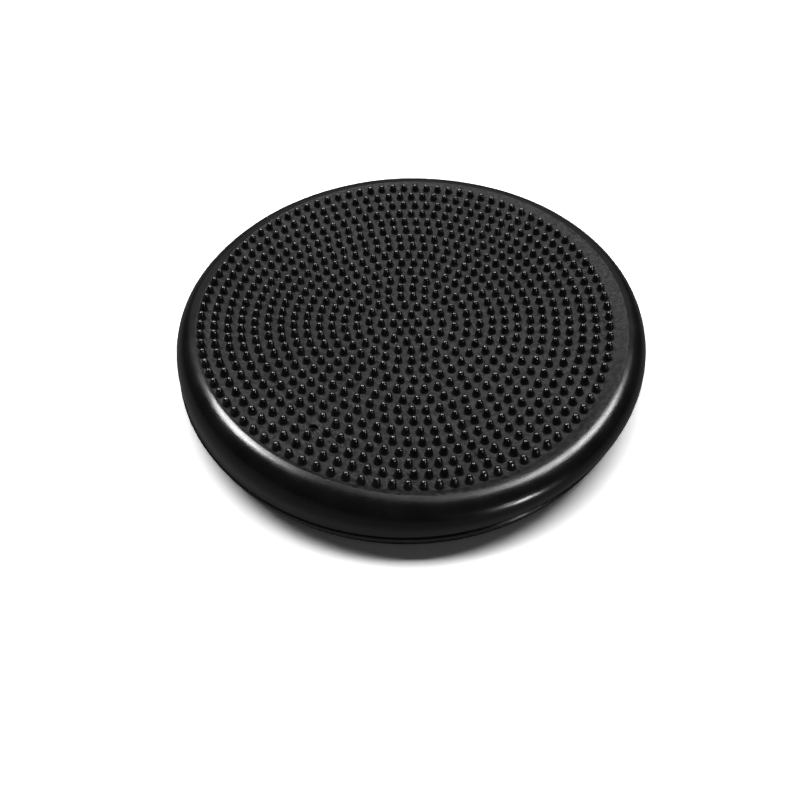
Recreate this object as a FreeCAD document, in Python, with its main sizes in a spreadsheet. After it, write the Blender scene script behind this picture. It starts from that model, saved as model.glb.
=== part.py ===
"""Wobble cushion: a soft, air-filled PVC disc that rocks under whoever stands or sits on it.

The envelope is two mouldings joined at a seam round the rim. The upper one carries 816 massage nubs and a
needle valve, and the lower one has low grip dots. Each moulding is a stiff panel and a flexible wall here,
because the panels tilt against each other while the walls fold.

Frame: millimetres, +Z up, origin on the floor at the middle of the disc. The front faces -Y.
"""

import FreeCAD
import Part
import Sketcher
import math
import os

SHEET = "Dims"
PARTS_FOLDER = "parts"

# Driving dimensions. Each is one cell of the sheet, in millimetres, apart from the counts.
DIMENSIONS = {
    "outer_diameter": 330.0,  # over the seam
    "shoulder_width": 22.0,  # from the seam's outside in to the edge of the nubbed panel
    "edge_margin": 3.0,  # from the edge of the nubbed panel in to the outermost ring of nubs
    "wall_thickness": 3.0,
    "seam_height": 27.5,  # middle of the seam above the floor
    "crest_height": 53.0,  # top of the rim above the floor
    "centre_height": 38.0,  # middle of the sagging nubbed face above the floor
    "panel_gap": 0.3,  # between a panel and the wall that moves against it
    "seam_lip": 0.8,  # how far the seam stands out of the walls
    "seam_depth": 8.0,  # width of the seam's ring, from the outside in
    "seam_thickness": 2.4,
    "base_inset": 3.0,  # how much smaller in radius the underside panel is than the nubbed one
    "foot_width": 15.0,  # flat ring of the underside that touches the floor
    "base_rise": 6.0,  # how far the middle of the underside stands clear of the floor
    "ring_count": 16.0,  # rings of nubs round the middle one
    "nub_base_diameter": 5.8,
    "nub_tip_diameter": 3.4,
    "nub_cone_height": 4.6,
    "nub_height": 5.8,
    "dot_ring_count": 6.0,  # rings of grip dots round the middle one
    "dot_margin": 23.0,  # from the edge of the underside's hollow in to the outermost ring of dots
    "dot_diameter": 7.0,
    "dot_height": 1.4,
    "port_diameter": 5.6,  # hole in the nubbed panel that the pump's needle goes through
    "boss_diameter": 13.0,
    "boss_length": 14.0,
    "core_diameter": 7.0,
    "core_length": 12.0,
    "needle_diameter": 2.0,  # channel through the valve's rubber core
}

# How far each ring of nubs is turned from +X, as a share of its own spacing, from the inside out.
RING_TURNS = (1.0, 0.0, 0.8, 0.3, 0.6, 0.4, 0.6, 0.5, 0.6, 0.2, 0.1, 0.7, 0.6, 0.7, 0.5, 0.6)
NUBS_PER_RING_STEP = 6  # ring n has six times n nubs, so the spacing stays the same
VALVE_RING = 13  # the valve takes the place of one nub of this ring
VALVE_PLACE = 51

# Derived sizes, as expressions on the sheet.
OUTER_RADIUS = "(Dims.outer_diameter / 2)"
WALL_RADIUS = "(Dims.outer_diameter / 2 - Dims.seam_lip)"
FACE_RADIUS = "(Dims.outer_diameter / 2 - Dims.shoulder_width)"
RING_PITCH = f"(({FACE_RADIUS} - Dims.edge_margin) / Dims.ring_count)"
RIM_RISE = "(Dims.crest_height - Dims.seam_height)"
RIM_CENTRE = f"({WALL_RADIUS} - {RIM_RISE})"
EDGE_HEIGHT = f"(Dims.seam_height + sqrt({RIM_RISE} ^ 2 - ({FACE_RADIUS} - {RIM_CENTRE}) ^ 2))"
DISH_DEPTH = f"({EDGE_HEIGHT} - Dims.centre_height)"
DISH_RADIUS = f"(({FACE_RADIUS} ^ 2 + {DISH_DEPTH} ^ 2) / (2 * {DISH_DEPTH}))"
DISH_BACK = f"({DISH_RADIUS} + Dims.wall_thickness)"
KEEL_CENTRE = f"({WALL_RADIUS} - Dims.seam_height)"
BASE_RADIUS = f"({FACE_RADIUS} - Dims.base_inset)"
HOLLOW_RADIUS = f"({BASE_RADIUS} - Dims.foot_width)"
DOT_PITCH = f"(({HOLLOW_RADIUS} - Dims.dot_margin) / Dims.dot_ring_count)"
HOLLOW_ARC = f"(({HOLLOW_RADIUS} ^ 2 + Dims.base_rise ^ 2) / (2 * Dims.base_rise))"


def make_sheet(doc):
    """The spreadsheet of driving dimensions, one named cell each."""
    sheet = doc.addObject("Spreadsheet::Sheet", SHEET)
    for row, (name, size) in enumerate(DIMENSIONS.items(), start=1):
        sheet.set(f"A{row}", name)
        sheet.set(f"B{row}", str(size))
        sheet.setAlias(f"B{row}", name)
    doc.recompute()
    return sheet


def value(sheet, expression):
    """The number that an expression on the sheet gives."""
    result = sheet.evalExpression(str(expression))
    return float(getattr(result, "Value", result))


def arc_between(start, end, radius, centre_on_left):
    """The shorter arc from start to end, with its centre on the left or right of that way."""
    chord = end - start
    middle = (start + end) * 0.5
    across = FreeCAD.Vector(-chord.y, chord.x, 0).normalize()
    height = math.sqrt(max(radius**2 - (chord.Length / 2) ** 2, 0.0))
    side = 1 if centre_on_left else -1
    bulge = middle - across * (side * (radius - height))
    return Part.Arc(start, bulge, end)


def bind(sketch, kind, name, places, expression, sheet):
    """A named dimension of the sketch, bound to an expression on the sheet."""
    sketch.addConstraint(Sketcher.Constraint(kind, *places, value(sheet, expression)))
    sketch.renameConstraint(sketch.ConstraintCount - 1, name)
    sketch.setExpression(f"Constraints.{name}", str(expression))


def turned_body(doc, sheet, label, outline):
    """A body turned about +Z from a closed outline.

    Each corner is (radius, height, next edge), where the next edge is None for a line, or (radius, centre on
    the left) for an arc. Radii and heights are expressions on the sheet.
    """
    body = doc.addObject("PartDesign::Body", label)
    body.Label = label
    sketch = body.newObject("Sketcher::SketchObject", f"{label}_outline")
    plane = [item for item in body.Origin.OriginFeatures if item.Role == "XZ_Plane"][0]
    sketch.AttachmentSupport = [(plane, "")]
    sketch.MapMode = "FlatFace"
    corners = [FreeCAD.Vector(value(sheet, r), value(sheet, z), 0) for r, z, _ in outline]
    joints = []
    for index, (_, _, edge) in enumerate(outline):
        start = corners[index]
        end = corners[(index + 1) % len(corners)]
        if edge is None:
            number = sketch.addGeometry(Part.LineSegment(start, end), False)
            joints.append((number, 1, 2))
            continue
        arc = arc_between(start, end, value(sheet, edge[0]), edge[1])
        number = sketch.addGeometry(arc, False)
        # A sketch keeps its arcs anticlockwise, so an arc with its centre on the right is stored end first.
        joints.append((number, 1, 2) if edge[1] else (number, 2, 1))
        bind(sketch, "Radius", f"arc_{index}", (number,), edge[0], sheet)
    for index, (radius, height, _) in enumerate(outline):
        number, first, _ = joints[index]
        before, _, last = joints[index - 1]
        sketch.addConstraint(Sketcher.Constraint("Coincident", before, last, number, first))
        if corners[index].x == 0:
            sketch.addConstraint(Sketcher.Constraint("PointOnObject", number, first, -2))
        else:
            bind(sketch, "DistanceX", f"radius_{index}", (-1, 1, number, first), radius, sheet)
        if corners[index].y == 0:
            sketch.addConstraint(Sketcher.Constraint("PointOnObject", number, first, -1))
        else:
            bind(sketch, "DistanceY", f"height_{index}", (-1, 1, number, first), height, sheet)
    turn = body.newObject("PartDesign::Revolution", f"{label}_turn")
    turn.Profile = (sketch, [""])
    turn.ReferenceAxis = (sketch, ["V_Axis"])
    turn.Angle = 360
    sketch.Visibility = False
    doc.recompute()
    return body


def rim_height(centre, arc_radius, radius, side):
    """Height on a rim arc at a given radius, above the seam for side + and below it for side -."""
    return f"(Dims.seam_height {side} sqrt({arc_radius} ^ 2 - ({radius} - {centre}) ^ 2))"


def make_wall(doc, sheet, label, centre, arc_radius, split_radius, side):
    """Half of the rolled rim, from the seam round to the edge of a panel."""
    inner_arc = f"({arc_radius} - Dims.wall_thickness)"
    seam_face = f"(Dims.seam_height {side} Dims.seam_thickness / 2)"
    outer_foot = f"({centre} + sqrt({arc_radius} ^ 2 - (Dims.seam_thickness / 2) ^ 2))"
    inner_foot = f"({centre} + sqrt({inner_arc} ^ 2 - (Dims.seam_thickness / 2) ^ 2))"
    rising = side == "+"
    outline = [
        (split_radius, rim_height(centre, inner_arc, split_radius, side), (inner_arc, not rising)),
        (inner_foot, seam_face, None),
        (outer_foot, seam_face, (arc_radius, rising)),
        (split_radius, rim_height(centre, arc_radius, split_radius, side), None),
    ]
    return turned_body(doc, sheet, label, outline)


def make_upper_wall(doc, sheet):
    """Flexible shoulder, from the seam over the crest to the nubbed panel."""
    split_radius = f"({FACE_RADIUS} + Dims.panel_gap)"
    return make_wall(doc, sheet, "upper_wall", RIM_CENTRE, RIM_RISE, split_radius, "+")


def make_lower_wall(doc, sheet):
    """Flexible keel, from the seam down and in to the underside panel."""
    split_radius = f"({BASE_RADIUS} + Dims.panel_gap)"
    return make_wall(doc, sheet, "lower_wall", KEEL_CENTRE, "Dims.seam_height", split_radius, "-")


def make_seam(doc, sheet):
    """Welded ring that joins the two mouldings, with its outer edge standing out as a bead."""
    inside = f"({OUTER_RADIUS} - Dims.seam_depth)"
    top = "(Dims.seam_height + Dims.seam_thickness / 2)"
    bottom = "(Dims.seam_height - Dims.seam_thickness / 2)"
    outline = [
        (inside, bottom, None),
        (OUTER_RADIUS, bottom, None),
        (OUTER_RADIUS, top, None),
        (inside, top, None),
    ]
    return turned_body(doc, sheet, "seam_flange", outline)


def make_face_blank(doc, sheet):
    """Nubbed panel before the valve's hole: a shallow dish of even thickness."""
    back_edge = f"(Dims.centre_height + {DISH_RADIUS} - sqrt({DISH_BACK} ^ 2 - {FACE_RADIUS} ^ 2))"
    outline = [
        ("0", "(Dims.centre_height - Dims.wall_thickness)", (DISH_BACK, True)),
        (FACE_RADIUS, back_edge, None),
        (FACE_RADIUS, EDGE_HEIGHT, (DISH_RADIUS, False)),
        ("0", "Dims.centre_height", None),
    ]
    return turned_body(doc, sheet, "face_blank", outline)


def make_lower_face(doc, sheet):
    """Underside panel: a flat ring that stands on the floor round a shallow hollow."""
    outline = [
        (HOLLOW_RADIUS, "0", None),
        (BASE_RADIUS, "0", None),
        (BASE_RADIUS, "Dims.wall_thickness", None),
        (HOLLOW_RADIUS, "Dims.wall_thickness", (HOLLOW_ARC, True)),
        ("0", "(Dims.base_rise + Dims.wall_thickness)", None),
        ("0", "Dims.base_rise", (HOLLOW_ARC, False)),
    ]
    return turned_body(doc, sheet, "lower_face", outline)


def make_nub_form(doc, sheet):
    """One nub standing at the origin: a cone with a rounded tip."""
    tip_radius = "(Dims.nub_tip_diameter / 2)"
    dome = "(Dims.nub_height - Dims.nub_cone_height)"
    dome_arc = f"(({tip_radius} ^ 2 + {dome} ^ 2) / (2 * {dome}))"
    outline = [
        ("0", "0", None),
        ("(Dims.nub_base_diameter / 2)", "0", None),
        (tip_radius, "Dims.nub_cone_height", (dome_arc, True)),
        ("0", "Dims.nub_height", None),
    ]
    return turned_body(doc, sheet, "nub_form", outline)


def make_dot_form(doc, sheet):
    """One grip dot standing at the origin: a low dome."""
    dot_radius = "(Dims.dot_diameter / 2)"
    dome_arc = f"(({dot_radius} ^ 2 + Dims.dot_height ^ 2) / (2 * Dims.dot_height))"
    outline = [
        ("0", "0", None),
        (dot_radius, "0", (dome_arc, True)),
        ("0", "Dims.dot_height", None),
    ]
    return turned_body(doc, sheet, "dot_form", outline)


def ring_places(pitch, turns):
    """Middle place, then (radius, angle) round rings that hold six more places each than the last."""
    places = [(0.0, 0.0)]
    for ring, turn in enumerate(turns, start=1):
        count = NUBS_PER_RING_STEP * ring
        places += [(ring * pitch, 2 * math.pi * (place + turn) / count) for place in range(count)]
    return places


def nub_places(sheet):
    """Every place of the nub pattern except the valve's, and then the valve's own."""
    pitch = value(sheet, RING_PITCH)
    count = int(value(sheet, "Dims.ring_count"))
    turns = [RING_TURNS[ring % len(RING_TURNS)] for ring in range(count)]
    places = ring_places(pitch, turns)
    before_ring = 1 + NUBS_PER_RING_STEP * VALVE_RING * (VALVE_RING - 1) // 2
    valve = places.pop(before_ring + VALVE_PLACE)
    return places, valve


def in_bowl(radius, angle, bowl_centre, bowl_radius, lift, opens_up):
    """Placement on the inside of a bowl, with +Z pointing at the bowl's centre, raised by lift.

    The bowl is part of a sphere. It opens up for the nubbed face and down for the underside's hollow.
    """
    side = 1 if opens_up else -1
    centre = FreeCAD.Vector(0, 0, bowl_centre)
    drop = math.sqrt(bowl_radius**2 - radius**2)
    point = FreeCAD.Vector(radius * math.cos(angle), radius * math.sin(angle), bowl_centre - side * drop)
    inward = (centre - point).normalize()
    rotation = FreeCAD.Rotation(FreeCAD.Vector(0, 0, 1), inward)
    return FreeCAD.Placement(point + inward * lift, rotation)


def seat_lift(bowl_radius, pad_radius):
    """How far a flat round base is raised inside a bowl so that its rim meets the surface."""
    return bowl_radius - math.sqrt(bowl_radius**2 - pad_radius**2)


def copies(form, placements):
    """A group of separate solids, one copy of the form at each placement."""
    solids = []
    for placement in placements:
        solid = form.Shape.copy()
        solid.Placement = placement
        solids.append(solid)
    return Part.makeCompound(solids)


def make_nubs(doc, sheet, form):
    """Massage nubs, each square to the dished face."""
    dish_radius = value(sheet, DISH_RADIUS)
    dish_centre = value(sheet, "Dims.centre_height") + dish_radius
    lift = seat_lift(dish_radius, value(sheet, "Dims.nub_base_diameter") / 2)
    places, _ = nub_places(sheet)
    nubs = doc.addObject("Part::Feature", "massage_nubs")
    nubs.Label = "massage_nubs"
    nubs.Shape = copies(form, [in_bowl(r, a, dish_centre, dish_radius, lift, True) for r, a in places])
    return nubs


def make_dots(doc, sheet, form):
    """Grip dots in the hollow of the underside, clear of the floor until the cushion is loaded."""
    hollow_arc = value(sheet, HOLLOW_ARC)
    hollow_centre = value(sheet, "Dims.base_rise") - hollow_arc
    lift = seat_lift(hollow_arc, value(sheet, "Dims.dot_diameter") / 2)
    turns = [0.0] * int(value(sheet, "Dims.dot_ring_count"))
    places = ring_places(value(sheet, DOT_PITCH), turns)
    dots = doc.addObject("Part::Feature", "grip_dots")
    dots.Label = "grip_dots"
    dots.Shape = copies(form, [in_bowl(r, a, hollow_centre, hollow_arc, lift, False) for r, a in places])
    return dots


def valve_placement(sheet, depth):
    """Placement on the valve's axis, which is square to the nubbed face, at a depth below that face."""
    dish_radius = value(sheet, DISH_RADIUS)
    dish_centre = value(sheet, "Dims.centre_height") + dish_radius
    _, (radius, angle) = nub_places(sheet)
    return in_bowl(radius, angle, dish_centre, dish_radius, -depth, True)


def make_cylinder(doc, name, diameter, length, placement):
    """A cylinder standing on its placement, bound to the sheet."""
    cylinder = doc.addObject("Part::Cylinder", name)
    cylinder.setExpression("Radius", f"{diameter} / 2")
    cylinder.setExpression("Height", length)
    cylinder.Placement = placement
    return cylinder


def make_cut(doc, label, base, tool):
    """The base with the tool taken out of it."""
    cut = doc.addObject("Part::Cut", label)
    cut.Label = label
    cut.Base = base
    cut.Tool = tool
    return cut


def make_upper_face(doc, sheet, blank):
    """Nubbed panel with the needle's hole through it."""
    wall = value(sheet, "Dims.wall_thickness")
    drill = make_cylinder(
        doc, "port_drill", "Dims.port_diameter", "4 * Dims.wall_thickness", valve_placement(sheet, 2 * wall)
    )
    return make_cut(doc, "upper_face", blank, drill)


def make_valve(doc, sheet):
    """Sleeve moulded under the face, and the self-sealing rubber core pressed into it."""
    wall = value(sheet, "Dims.wall_thickness")
    boss_foot = valve_placement(sheet, wall + value(sheet, "Dims.boss_length"))
    core_foot = valve_placement(sheet, wall + value(sheet, "Dims.core_length"))
    boss_rod = make_cylinder(doc, "boss_rod", "Dims.boss_diameter", "Dims.boss_length", boss_foot)
    boss_bore = make_cylinder(doc, "boss_bore", "Dims.core_diameter", "Dims.boss_length", boss_foot)
    core_rod = make_cylinder(doc, "core_rod", "Dims.core_diameter", "Dims.core_length", core_foot)
    channel = make_cylinder(doc, "needle_channel", "Dims.needle_diameter", "Dims.core_length", core_foot)
    boss = make_cut(doc, "valve_boss", boss_rod, boss_bore)
    core = make_cut(doc, "valve_core", core_rod, channel)
    return [boss, core]


def check(doc, parts):
    """Stops with a message if any object failed or any piece has no sound shape."""
    failed = [item.Name for item in doc.Objects if {"Invalid", "Error"} & set(item.State)]
    if failed:
        raise RuntimeError(f"failed objects: {failed}")
    for part in parts:
        if part.Shape.isNull() or not part.Shape.isValid():
            raise RuntimeError(f"{part.Label} has no sound shape")


def main():
    doc = FreeCAD.newDocument("WobbleCushion")
    sheet = make_sheet(doc)
    parts = [
        make_lower_face(doc, sheet),
        make_lower_wall(doc, sheet),
        make_seam(doc, sheet),
        make_upper_wall(doc, sheet),
        make_upper_face(doc, sheet, make_face_blank(doc, sheet)),
        make_nubs(doc, sheet, make_nub_form(doc, sheet)),
        make_dots(doc, sheet, make_dot_form(doc, sheet)),
    ]
    parts += make_valve(doc, sheet)
    doc.recompute()
    check(doc, parts)
    os.makedirs(PARTS_FOLDER, exist_ok=True)
    for part in parts:
        part.Shape.exportStep(f"{PARTS_FOLDER}/{part.Label}.step")
        print(f"{part.Label}: {len(part.Shape.Solids)} solids, {part.Shape.Volume / 1000:.1f} cm3")
    port = valve_placement(sheet, value(sheet, "Dims.wall_thickness"))
    print("needle port:", port.Base, "axis", port.Rotation.multVec(FreeCAD.Vector(0, 0, 1)))


main()
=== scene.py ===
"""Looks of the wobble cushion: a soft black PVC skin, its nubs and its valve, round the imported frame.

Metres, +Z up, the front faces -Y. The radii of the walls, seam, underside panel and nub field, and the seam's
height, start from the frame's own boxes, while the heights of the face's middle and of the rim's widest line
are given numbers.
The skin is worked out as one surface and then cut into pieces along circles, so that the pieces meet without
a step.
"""
import math

import bmesh
import bpy
import numpy as np
from mathutils import Matrix, Vector


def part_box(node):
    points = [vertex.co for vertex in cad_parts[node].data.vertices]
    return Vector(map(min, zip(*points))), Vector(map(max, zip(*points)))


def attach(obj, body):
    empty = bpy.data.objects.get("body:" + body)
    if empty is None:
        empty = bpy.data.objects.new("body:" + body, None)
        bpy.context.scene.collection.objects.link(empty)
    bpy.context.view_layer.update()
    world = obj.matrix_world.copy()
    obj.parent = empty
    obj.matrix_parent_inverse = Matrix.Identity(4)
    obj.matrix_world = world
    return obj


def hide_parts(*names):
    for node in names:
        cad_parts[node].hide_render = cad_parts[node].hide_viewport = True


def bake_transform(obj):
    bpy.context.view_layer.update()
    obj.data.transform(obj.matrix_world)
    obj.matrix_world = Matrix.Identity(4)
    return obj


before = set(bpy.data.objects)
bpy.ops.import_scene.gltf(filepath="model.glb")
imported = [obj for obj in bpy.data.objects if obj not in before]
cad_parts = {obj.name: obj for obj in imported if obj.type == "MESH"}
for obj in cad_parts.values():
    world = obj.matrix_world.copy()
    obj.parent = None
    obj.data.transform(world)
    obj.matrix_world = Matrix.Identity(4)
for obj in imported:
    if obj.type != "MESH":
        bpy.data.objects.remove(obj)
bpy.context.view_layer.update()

MM = 0.001

# ---------------------------------------------------------------- sizes from the frame
seam_low, seam_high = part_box("seam_flange")
wall_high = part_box("upper_wall")[1]
base_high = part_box("lower_face")[1]
nub_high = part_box("massage_nubs")[1]

WALL_RADIUS = wall_high.x
SEAM_RADIUS = seam_high.x
SEAM_HEIGHT = (seam_low.z + seam_high.z) / 2
SEAM_HALF = (seam_high.z - seam_low.z) / 2
BASE_RADIUS = base_high.x
RING_COUNT = 16
NUB_BASE_RADIUS = 2.9 * MM
FIELD_RADIUS = nub_high.x - NUB_BASE_RADIUS
RING_PITCH = FIELD_RADIUS / RING_COUNT

# ---------------------------------------------------------------- shape of the soft skin
SKIN = 2.6 * MM
CENTRE_HEIGHT = 36.5 * MM
# Waves round the disc: how many go round, how much they rise, and the side they peak on, in degrees. The
# face's rise with the square and the fourth power of the radius, so they have two heights. The values are
# rounded results of fits that were made outside this script.
FACE_WAVES = (
    (0, 13.0 * MM, 0.85 * MM, 0.0),
    (1, 8.8 * MM, -3.6 * MM, 216.0),
    (1, 0.0, 0.85 * MM, 90.0),
    (2, 12.0 * MM, -8.0 * MM, 24.0),
    (3, 5.0 * MM, -3.7 * MM, 343.0),
)
CREST_RISE = 2.2 * MM  # crest above the edge of the nubbed face, on average
CREST_WAVES = ((1, 1.6 * MM, 320.0), (2, 0.7 * MM, 300.0), (5, 0.2 * MM, 40.0), (9, 0.12 * MM, 10.0))
CREST_OUT = 7.7 * MM  # outermost nubs to the crest, on average
CREST_OUT_WAVES = ((1, 4.3 * MM, 0.0),)
SLUMP_WAVES = ((1, 3.3 * MM, 329.0), (2, 0.9 * MM, 2.0))  # how the soft rim leans out of round
SEAM_INSET = 2.2 * MM  # the wall at the seam, inside the CAD wall
WALL_INSET = 2.3 * MM  # the widest line of the rim, inside the CAD wall
BULGE_HEIGHT = 37.5 * MM
RIM_FULLNESS = 2.15  # 2 is an ellipse, more is squarer
KEEL_FULLNESS = 1.8
PANEL_GAP = 0.2 * MM  # round the underside panel
SPOKES = 360
EDGE_MARGIN = 2 * MM  # from the middle of the outermost nubs to the start of the bare bank
FACE_ROWS = 108
BANK_ROWS = 24
SHOULDER_ROWS = 52
UNDERCUT_ROWS = 14
KEEL_ROWS = 40

random_state = np.random.RandomState(7)
spoke_angles = np.linspace(0, 2 * math.pi, SPOKES, endpoint=False)[:, None]


def wave(angle, count, peak_degrees):
    """A cosine that goes round the disc count times and peaks on one side."""
    return np.cos(count * (angle - math.radians(peak_degrees)))


def waves(angle, terms):
    """Sum of plain waves round the disc."""
    return sum(rise * wave(angle, count, peak) for count, rise, peak in terms)


def face_height(radius, angle):
    """Height of the sagging nubbed face."""
    share = radius / FIELD_RADIUS
    height = CENTRE_HEIGHT
    for count, square, fourth, peak in FACE_WAVES:
        height = height + (square * share**2 + fourth * share**4) * wave(angle, count, peak)
    return height


def seam_radius(angle):
    """Radius of the soft wall where it meets the seam."""
    return WALL_RADIUS - SEAM_INSET + 0.3 * waves(angle, SLUMP_WAVES)


def bulge_radius(angle):
    """Radius of the widest line of the rim."""
    return WALL_RADIUS - WALL_INSET + waves(angle, SLUMP_WAVES)


def hermite(start, end, start_slope, end_slope, shares):
    """Smooth run between two values with these end slopes, over shares from 0 to 1."""
    t = shares
    return (
        start * (2 * t**3 - 3 * t**2 + 1)
        + start_slope * (t**3 - 2 * t**2 + t)
        + end * (3 * t**2 - 2 * t**3)
        + end_slope * (t**3 - t**2)
    )


def turned(radius, height):
    """Points of a surface from its radius and height on every spoke."""
    radius, height = np.broadcast_arrays(radius + 0 * spoke_angles, height + 0 * spoke_angles)
    return np.stack([radius * np.cos(spoke_angles), radius * np.sin(spoke_angles), height], axis=2)


def face_and_bank():
    """The nubbed face and the bare bank outside it, up to the crest."""
    edge = FIELD_RADIUS + EDGE_MARGIN
    first_row = 1.2 * MM
    radii = np.concatenate([[0.0], np.linspace(first_row, edge, FACE_ROWS)])[None, :]
    face = turned(radii, face_height(radii, spoke_angles))
    step = 0.1 * MM
    slope = (face_height(edge, spoke_angles) - face_height(edge - step, spoke_angles)) / step
    run = FIELD_RADIUS + CREST_OUT + waves(spoke_angles, CREST_OUT_WAVES) - edge
    crest = face_height(edge, spoke_angles) + CREST_RISE + waves(spoke_angles, CREST_WAVES)
    shares = 1 - (1 - np.linspace(0, 1, BANK_ROWS)[None, 1:]) ** 1.6  # rows closer together at the crest
    height = hermite(face_height(edge, spoke_angles), crest, slope * run, 0.0, shares)
    return np.concatenate([face, turned(edge + run * shares, height)], axis=1)


def rim(crest_points):
    """The shoulder from the crest over the widest line and back in to the seam."""
    crest_radius = np.hypot(crest_points[:, 0], crest_points[:, 1])[:, None]
    crest = crest_points[:, 2][:, None]
    wide = bulge_radius(spoke_angles)
    power = 2 / RIM_FULLNESS
    turn = math.pi / 2 * np.linspace(0, 1, SHOULDER_ROWS)[None, :] ** 1.5  # and here too
    over = turned(
        crest_radius + (wide - crest_radius) * np.sin(turn) ** power,
        BULGE_HEIGHT + (crest - BULGE_HEIGHT) * np.maximum(np.cos(turn), 0) ** power,
    )
    share = np.linspace(0, 1, UNDERCUT_ROWS)[None, 1:]
    under = turned(
        wide - (wide - seam_radius(spoke_angles)) * share**2,
        BULGE_HEIGHT - (BULGE_HEIGHT - SEAM_HEIGHT - SEAM_HALF) * share,
    )
    return np.concatenate([over, under], axis=1)


def keel_points():
    """The lower shell from under the seam to the edge of the underside panel."""
    power = 2 / KEEL_FULLNESS
    turn = np.linspace(0, math.pi / 2, KEEL_ROWS)[None, :]
    reach = seam_radius(spoke_angles) - BASE_RADIUS
    top = SEAM_HEIGHT - SEAM_HALF
    return turned(
        BASE_RADIUS + PANEL_GAP + reach * np.maximum(np.cos(turn), 0) ** power,
        top * (1 - np.sin(turn) ** power),
    )


# ---------------------------------------------------------------- mesh helpers
def mesh_object(name, vertices, faces):
    """A smooth-shaded mesh object from plain lists."""
    mesh = bpy.data.meshes.new(name)
    mesh.from_pydata([tuple(v) for v in vertices], [], faces)
    mesh.update()
    mesh.shade_smooth()
    thing = bpy.data.objects.new(name, mesh)
    bpy.context.scene.collection.objects.link(thing)
    return thing


def skin_piece(name, grid):
    """A closed piece of skin from a spokes-by-rows grid of its outer points, thickened inwards."""
    spokes, rows, _ = grid.shape
    vertices = [tuple(p) for p in grid.reshape(-1, 3)]
    faces = []
    for spoke in range(spokes):
        after = (spoke + 1) % spokes
        for row in range(rows - 1):
            a, b = spoke * rows + row, spoke * rows + row + 1
            c, d = after * rows + row + 1, after * rows + row
            faces.append((a, b, c, d))
    thing = mesh_object(name, vertices, faces)
    work = bmesh.new()
    work.from_mesh(thing.data)
    bmesh.ops.remove_doubles(work, verts=work.verts, dist=1e-6)
    bmesh.ops.recalc_face_normals(work, faces=work.faces)
    work.to_mesh(thing.data)
    work.free()
    solid = thing.modifiers.new("skin", "SOLIDIFY")
    solid.thickness = SKIN
    solid.offset = -1
    solid.use_even_offset = False
    apply_modifiers(thing)
    thing.data.shade_smooth()
    thing.data.set_sharp_from_angle(angle=math.radians(50))
    return thing


def apply_modifiers(thing):
    """Replaces the object's mesh by the one its modifiers give."""
    graph = bpy.context.evaluated_depsgraph_get()
    mesh = bpy.data.meshes.new_from_object(thing.evaluated_get(graph))
    thing.modifiers.clear()
    old = thing.data
    thing.data = mesh
    bpy.data.meshes.remove(old)


def points_of(thing):
    """Vertex positions of an object as an array."""
    flat = np.zeros(len(thing.data.vertices) * 3, np.float32)
    thing.data.vertices.foreach_get("co", flat)
    return flat.reshape(-1, 3)


# ---------------------------------------------------------------- nub pattern, read from the frame
def ring_places():
    """Polar places of the nubs, read ring by ring from the CAD nubs, and the place that none stands on."""
    points = points_of(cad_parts["massage_nubs"])
    radius = np.hypot(points[:, 0], points[:, 1])
    angle = np.arctan2(points[:, 1], points[:, 0])
    ring_of = np.rint(radius / RING_PITCH).astype(int)
    places, vacant = [(0.0, 0.0)], None
    for ring in range(1, RING_COUNT + 1):
        here = angle[(ring_of == ring) & (np.abs(radius / RING_PITCH - ring) < 0.2)]
        count = 6 * ring
        start = np.angle(np.exp(1j * count * here).mean()) / count
        for place in range(count):
            at = start + 2 * math.pi * place / count
            near = np.abs(np.angle(np.exp(1j * (here - at)))) < math.pi / count / 2
            if near.any():
                places.append((ring * RING_PITCH, at))
            else:
                vacant = (ring * RING_PITCH, at)
    return places, vacant


def seat_on_face(radius, angle):
    """A matrix that stands a piece on the visible face, square to it."""
    x, y = radius * math.cos(angle), radius * math.sin(angle)
    step = 0.5 * MM

    def height(px, py):
        return float(face_height(math.hypot(px, py), math.atan2(py, px)))

    across = Vector((2 * step, 0, height(x + step, y) - height(x - step, y)))
    along = Vector((0, 2 * step, height(x, y + step) - height(x, y - step)))
    normal = across.cross(along).normalized()
    turn = Vector((0, 0, 1)).rotation_difference(normal).to_matrix().to_4x4()
    return Matrix.Translation(Vector((x, y, height(x, y)))) @ turn


# ---------------------------------------------------------------- nubs and valve
NUB_PROFILE = (
    # radius and height in millimetres, from inside the skin to the tip
    (3.35, -0.5),
    (3.1, 0.06),
    (2.9, 0.3),
    (2.8, 0.8),
    (2.56, 2.2),
    (2.16, 3.7),
    (1.84, 4.7),
    (1.56, 5.3),
    (1.12, 5.72),
    (0.56, 5.92),
    (0.0, 5.98),
)
NUB_SIDES = 12
NUB_UNEVENNESS = 0.015  # radians of lean, and share of the height


def lathe(profile, sides, closed):
    """Vertices and faces of a small turned piece, from (radius, height) points in millimetres.

    A closed profile is the section of a tube. An open one has a flat foot and ends in a point on the
    axis."""
    turns = 2 * np.pi * np.arange(sides) / sides
    rings = [[(r * math.cos(t), r * math.sin(t), z) for t in turns] for r, z in profile]
    tip = None if closed else rings.pop()[0]
    vertices = [point for ring in rings for point in ring]
    faces = []
    bands = len(rings) if closed else len(rings) - 1
    for row in range(bands):
        low, high = row * sides, (row + 1) % len(rings) * sides
        for side in range(sides):
            after = (side + 1) % sides
            faces.append((low + side, low + after, high + after, high + side))
    if not closed:
        rim_start = len(vertices) - sides
        tip_place = len(vertices)
        faces += [(rim_start + side, rim_start + (side + 1) % sides, tip_place) for side in range(sides)]
        faces.append(tuple(range(sides - 1, -1, -1)))
        vertices.append(tip)
    return np.array(vertices) * MM, faces


def moved(vertices, matrix):
    """The vertices after a matrix."""
    return (np.hstack([vertices, np.ones((len(vertices), 1))]) @ np.array(matrix).T)[:, :3]


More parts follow.
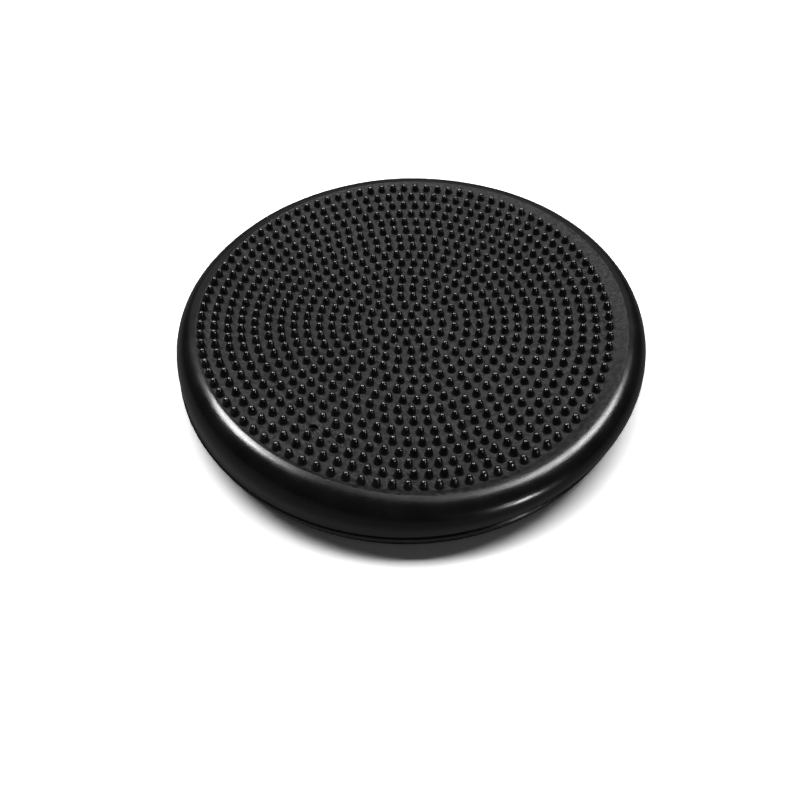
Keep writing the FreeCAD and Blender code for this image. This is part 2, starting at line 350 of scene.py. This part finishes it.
def make_nubs(places):
    """Every nub, each standing square on the sagging face, slightly uneven as soft mouldings are."""
    shape, faces = lathe(NUB_PROFILE, NUB_SIDES, closed=False)
    vertices, all_faces = [], []
    for radius, angle in places:
        lean = random_state.normal(0, NUB_UNEVENNESS, 2)
        stretch = 1 + random_state.normal(0, NUB_UNEVENNESS)
        tilt = Matrix.Rotation(lean[0], 4, "X") @ Matrix.Rotation(lean[1], 4, "Y")
        matrix = seat_on_face(radius, angle) @ tilt
        start = len(vertices)
        vertices.extend(moved(shape * (1, 1, stretch), matrix))
        all_faces.extend(tuple(start + v for v in face) for face in faces)
    return mesh_object("nub_field", vertices, all_faces)


PORT_RADIUS = 2.85 * MM
SLEEVE_PROFILE = (
    # section of the valve's sleeve under the skin, in millimetres from the skin's outside
    (3.6, -2.4),
    (6.1, -2.4),
    (6.5, -2.8),
    (6.5, -16.2),
    (6.1, -16.6),
    (3.9, -16.6),
    (3.6, -16.2),
)
CORE_PROFILE = (
    # section of the rubber core, with its dished mouth and the needle's channel
    (1.0, -4.4),
    (1.5, -3.7),
    (2.6, -3.2),
    (3.3, -3.2),
    (3.5, -3.5),
    (3.5, -14.6),
    (3.1, -15.0),
    (1.0, -15.0),
)


def valve_part(name, profile, place):
    """One turned piece of the valve, under the hole in the visible face."""
    vertices, faces = lathe(profile, 40, closed=True)
    part = mesh_object(name, moved(vertices, seat_on_face(*place)), faces)
    work = bmesh.new()
    work.from_mesh(part.data)
    bmesh.ops.recalc_face_normals(work, faces=work.faces)
    work.to_mesh(part.data)
    work.free()
    part.data.set_sharp_from_angle(angle=math.radians(40))
    return part


def drill_port(face, place):
    """The valve's round hole, cut square through the visible face."""
    profile = ((PORT_RADIUS / MM, -8.0), (PORT_RADIUS / MM, 8.0), (0.0, 8.0))
    vertices, faces = lathe(profile, 48, closed=False)
    cutter = mesh_object("cutter", moved(vertices, seat_on_face(*place)), faces)
    cut = face.modifiers.new("port", "BOOLEAN")
    cut.object = cutter
    cut.operation = "DIFFERENCE"
    cut.solver = "EXACT"
    apply_modifiers(face)
    bpy.data.objects.remove(cutter)


# ---------------------------------------------------------------- materials
def new_material(name):
    """An empty node material: its tree, its Principled node and its output."""
    material = bpy.data.materials.new(name)
    material.use_nodes = True
    tree = material.node_tree
    return material, tree, tree.nodes["Principled BSDF"]


def node(tree, kind, inputs=None, **settings):
    """A node with its settings and the values of its inputs."""
    made = tree.nodes.new(kind)
    for key, setting in settings.items():
        setattr(made, key, setting)
    for key, setting in (inputs or {}).items():
        made.inputs[key].default_value = setting
    return made


def streak_place(tree, place, along, across):
    """Texture place that is stretched round the disc, as brushed or rubbed marks are."""
    link = tree.links.new
    flat = node(tree, "ShaderNodeVectorMath", {1: (1.0, 1.0, 0.0)}, operation="MULTIPLY")
    around = node(tree, "ShaderNodeVectorMath", operation="NORMALIZE")
    spread = node(tree, "ShaderNodeVectorMath", operation="SCALE")
    spread.inputs["Scale"].default_value = along
    radius = node(tree, "ShaderNodeVectorMath", operation="LENGTH")
    parts = node(tree, "ShaderNodeSeparateXYZ")
    sum_up = node(tree, "ShaderNodeMath", operation="SUBTRACT")
    scale = node(tree, "ShaderNodeMath", {1: across}, operation="MULTIPLY")
    lift = node(tree, "ShaderNodeCombineXYZ")
    both = node(tree, "ShaderNodeVectorMath", operation="ADD")
    link(place, flat.inputs[0])
    link(flat.outputs["Vector"], around.inputs[0])
    link(around.outputs["Vector"], spread.inputs[0])
    link(flat.outputs["Vector"], radius.inputs[0])
    link(place, parts.inputs[0])
    link(radius.outputs["Value"], sum_up.inputs[0])
    link(parts.outputs["Z"], sum_up.inputs[1])
    link(sum_up.outputs["Value"], scale.inputs[0])
    link(scale.outputs["Value"], lift.inputs["Z"])
    link(spread.outputs["Vector"], both.inputs[0])
    link(lift.outputs["Vector"], both.inputs[1])
    return both.outputs["Vector"]


def pvc(name, dark, light, rough, specular, mottle, grain, bump, streaks=0.0):
    """Soft PVC: cloudy bloom in the colour, fine mould grain, patchy gloss, and rubbed streaks on the rim.
    Where the light grey is set high, as on the top face, the bloom also carries painted sheen.

    Dark and light are the greys of the bloom, rough the ends of the roughness, mottle and grain the scales of
    the two noises, and bump the height of the grain in metres."""
    material, tree, shader = new_material(name)
    link = tree.links.new
    place = node(tree, "ShaderNodeTexCoord").outputs["Object"]
    cloud = node(tree, "ShaderNodeTexNoise", {"Scale": mottle, "Detail": 5.0, "Roughness": 0.6})
    fine = node(tree, "ShaderNodeTexNoise", {"Scale": grain, "Detail": 3.0, "Roughness": 0.65})
    for texture in (cloud, fine):
        link(place, texture.inputs["Vector"])
    mix = node(tree, "ShaderNodeMath", {1: 0.35}, operation="MULTIPLY_ADD")
    link(fine.outputs["Fac"], mix.inputs[0])
    link(cloud.outputs["Fac"], mix.inputs[2])
    tone = node(tree, "ShaderNodeValToRGB")
    tone.color_ramp.elements[0].position = 0.5
    tone.color_ramp.elements[0].color = (dark, dark, dark, 1)
    tone.color_ramp.elements[1].position = 0.85
    tone.color_ramp.elements[1].color = (light, light, light, 1)
    link(mix.outputs["Value"], tone.inputs["Fac"])
    link(tone.outputs["Color"], shader.inputs["Base Color"])
    ends = {"From Min": 0.45, "From Max": 0.9, "To Min": rough[0], "To Max": rough[1]}
    gloss = node(tree, "ShaderNodeMapRange", ends)
    link(mix.outputs["Value"], gloss.inputs["Value"])
    link(gloss.outputs["Result"], shader.inputs["Roughness"])
    bumps = node(tree, "ShaderNodeBump", {"Strength": 1.0, "Distance": bump})
    link(mix.outputs["Value"], bumps.inputs["Height"])
    last = bumps
    if streaks:
        rubbed = node(tree, "ShaderNodeTexNoise", {"Scale": 1.0, "Detail": 4.0, "Roughness": 0.7})
        link(streak_place(tree, place, 9.0, 900.0), rubbed.inputs["Vector"])
        last = node(tree, "ShaderNodeBump", {"Strength": streaks, "Distance": 0.0002})
        link(rubbed.outputs["Fac"], last.inputs["Height"])
        link(bumps.outputs["Normal"], last.inputs["Normal"])
    link(last.outputs["Normal"], shader.inputs["Normal"])
    shader.inputs["Specular IOR Level"].default_value = specular
    return material


def paint(thing, material):
    """The object's only material."""
    thing.data.materials.clear()
    thing.data.materials.append(material)
    return thing


# Painted sheen: the top face's grey rises well above the near-black of the rim and nubs and stands in for the
# overhead light on the face; its random mottle is the PVC's own tone.
face_pvc_mottle_and_painted_sheen = pvc("face_pvc_mottle_and_painted_sheen", 0.0005, 0.038, (0.29, 0.42), 0.24, mottle=330.0, grain=1100.0, bump=0.0013)
rim_pvc = pvc("rim_pvc", 0.003, 0.006, (0.17, 0.28), 0.5, mottle=45.0, grain=700.0, bump=0.00003, streaks=0.3)
nub_pvc = pvc("nub_pvc", 0.002, 0.005, (0.2, 0.28), 0.8, mottle=300.0, grain=1100.0, bump=0.00005)
under_pvc = pvc("under_pvc", 0.006, 0.016, (0.45, 0.6), 0.4, mottle=60.0, grain=900.0, bump=0.0001)
core_rubber = pvc("core_rubber", 0.003, 0.006, (0.6, 0.8), 0.3, mottle=400.0, grain=1500.0, bump=0.0001)

# ---------------------------------------------------------------- pieces
places, valve_place = ring_places()
top_points = face_and_bank()
rim_points = rim(top_points[:, -1])
face = skin_piece("face_skin", top_points)
shoulder = skin_piece("shoulder_skin", rim_points)
keel = skin_piece("keel_skin", keel_points())
nubs = make_nubs(places)
drill_port(face, valve_place)
sleeve = valve_part("valve_sleeve", SLEEVE_PROFILE, valve_place)
core = valve_part("valve_rubber_core", CORE_PROFILE, valve_place)

paint(sleeve, under_pvc)
paint(core, core_rubber)
paint(face, face_pvc_mottle_and_painted_sheen)
paint(shoulder, rim_pvc)
paint(keel, rim_pvc)
paint(nubs, nub_pvc)
paint(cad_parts["lower_face"], under_pvc)
paint(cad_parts["grip_dots"], under_pvc)


def make_seam():
    """The welded seam: a thin bead with a soft crown, standing a little out of the walls."""
    lip = SEAM_RADIUS - WALL_RADIUS
    turn = np.linspace(-math.pi / 2, math.pi / 2, 13)
    outward = np.concatenate([(lip + 0.6 * MM) * np.cos(turn) - 0.6 * MM, [-3 * MM, -3 * MM]])[None, :]
    upward = np.concatenate([1.05 * SEAM_HALF * np.sin(turn), [0.9 * SEAM_HALF, -0.9 * SEAM_HALF]])[None, :]
    points = turned(seam_radius(spoke_angles) + outward, SEAM_HEIGHT + upward)
    count = points.shape[1]
    faces = []
    for spoke in range(SPOKES):
        here, after = spoke * count, (spoke + 1) % SPOKES * count
        for point in range(count):
            following = (point + 1) % count
            faces.append((here + point, after + point, after + following, here + following))
    return mesh_object("seam_bead", points.reshape(-1, 3), faces)


seam = paint(make_seam(), rim_pvc)

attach(face, "top")
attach(nubs, "top")
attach(sleeve, "top")
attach(core, "top")
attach(seam, "rim")
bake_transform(shoulder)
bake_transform(keel)

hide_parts("upper_face")
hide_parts("massage_nubs")
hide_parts("valve_boss")
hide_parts("valve_core")
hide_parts("upper_wall")
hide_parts("lower_wall")
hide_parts("seam_flange")

# ---------------------------------------------------------------- studio
def emitter(name, place, aim, size_x, size_y, power, seen_in="both"):
    """A soft rectangular light from place towards aim, which acts on gloss, on matt surfaces or on both."""
    light = bpy.data.lights.new(name, "AREA")
    light.shape = "RECTANGLE"
    light.size, light.size_y = size_x, size_y
    light.energy = power
    lamp = bpy.data.objects.new(name, light)
    lamp.location = place
    lamp.rotation_euler = (Vector(aim) - Vector(place)).to_track_quat("-Z", "Y").to_euler()
    lamp.visible_diffuse = seen_in != "gloss"
    lamp.visible_glossy = seen_in != "matt"
    bpy.context.scene.collection.objects.link(lamp)
    return lamp


PAPER_LIFT = 1.9  # above 1, so that the bare floor comes out plain white
PAPER_IN_GLOSS = 0.14  # its tone to every ray but the camera's
FLOOR_HALF = 6.0


def make_floor():
    """Pale floor that the cushion stands on, brighter to the camera than in the cushion's gloss."""
    turns = ((-1, -1), (1, -1), (1, 1), (-1, 1))
    corners = [(FLOOR_HALF * x, FLOOR_HALF * y, 0) for x, y in turns]
    floor = mesh_object("floor", corners, [(0, 1, 2, 3)])
    material, tree, shader = new_material("floor_paper")
    rays = node(tree, "ShaderNodeLightPath")
    tone = node(tree, "ShaderNodeMix", data_type="RGBA")
    tone.inputs["A"].default_value = (PAPER_IN_GLOSS,) * 3 + (1,)
    tone.inputs["B"].default_value = (PAPER_LIFT,) * 3 + (1,)
    tree.links.new(rays.outputs["Is Camera Ray"], tone.inputs["Factor"])
    tree.links.new(tone.outputs["Result"], shader.inputs["Base Color"])
    shader.inputs["Roughness"].default_value = 0.9
    shader.inputs["Specular IOR Level"].default_value = 0.1
    paint(floor, material)
    return floor


make_floor()

CAMERA_LENS = 32.0
CAMERA_ELEVATION = math.radians(53.5)
CAMERA_ROLL = math.radians(2.2)
CAMERA_DISTANCE = 0.507
CAMERA_RIGHT = 4.2 * MM  # where the middle of the face lies from the lens's axis, in the camera's own plane
CAMERA_UP = 53.9 * MM


def make_camera():
    """Camera in front of the cushion and above it, at the distance a hand-held phone would be."""
    camera = bpy.data.objects.new("camera", bpy.data.cameras.new("camera"))
    camera.data.lens = CAMERA_LENS
    camera.data.sensor_width = 36.0
    camera.data.clip_start = 0.01
    back = Vector((0, -math.cos(CAMERA_ELEVATION), math.sin(CAMERA_ELEVATION)))
    right = Vector((1, 0, 0))
    upward = back.cross(right)
    frame_axes = Matrix((right, upward, back)).transposed()
    axes = frame_axes @ Matrix.Rotation(-CAMERA_ROLL, 3, "Z")
    offset = Vector((CAMERA_RIGHT, CAMERA_UP, -CAMERA_DISTANCE))
    camera.matrix_world = Matrix.Translation(Vector((0, 0, CENTRE_HEIGHT)) - axes @ offset) @ axes.to_4x4()
    bpy.context.scene.collection.objects.link(camera)
    bpy.context.scene.camera = camera


make_camera()

world = bpy.data.worlds.new("studio")
world.use_nodes = True
world.node_tree.nodes["Background"].inputs["Color"].default_value = (1, 1, 1, 1)
world.node_tree.nodes["Background"].inputs["Strength"].default_value = 0.03
bpy.context.scene.world = world
bpy.context.scene.view_settings.view_transform = "Standard"

TARGET = (0, 0, 45 * MM)
emitter("back_wall", (0.0, 1.6, 0.95), TARGET, 3.0, 1.1, 2.2)
emitter("window_back", (0.0, 0.95, 1.35), TARGET, 0.5, 0.3, 5.0, "gloss")
emitter("ceiling", (0.0, 0.5, 1.6), TARGET, 1.8, 0.9, 2.4)
emitter("window_left", (-0.52, 0.34, 1.08), TARGET, 0.42, 0.3, 15.0, "gloss")
emitter("window_right", (0.55, 0.28, 1.06), TARGET, 0.28, 0.38, 8.0, "gloss")
emitter("overhead", (0.0, 0.0, 1.4), TARGET, 1.5, 0.35, 18.0, "matt")
emitter("desk_lamp", (0.7, -0.88, 0.2), (0.06, -0.148, 0.045), 0.03, 0.01, 2.6, "gloss")
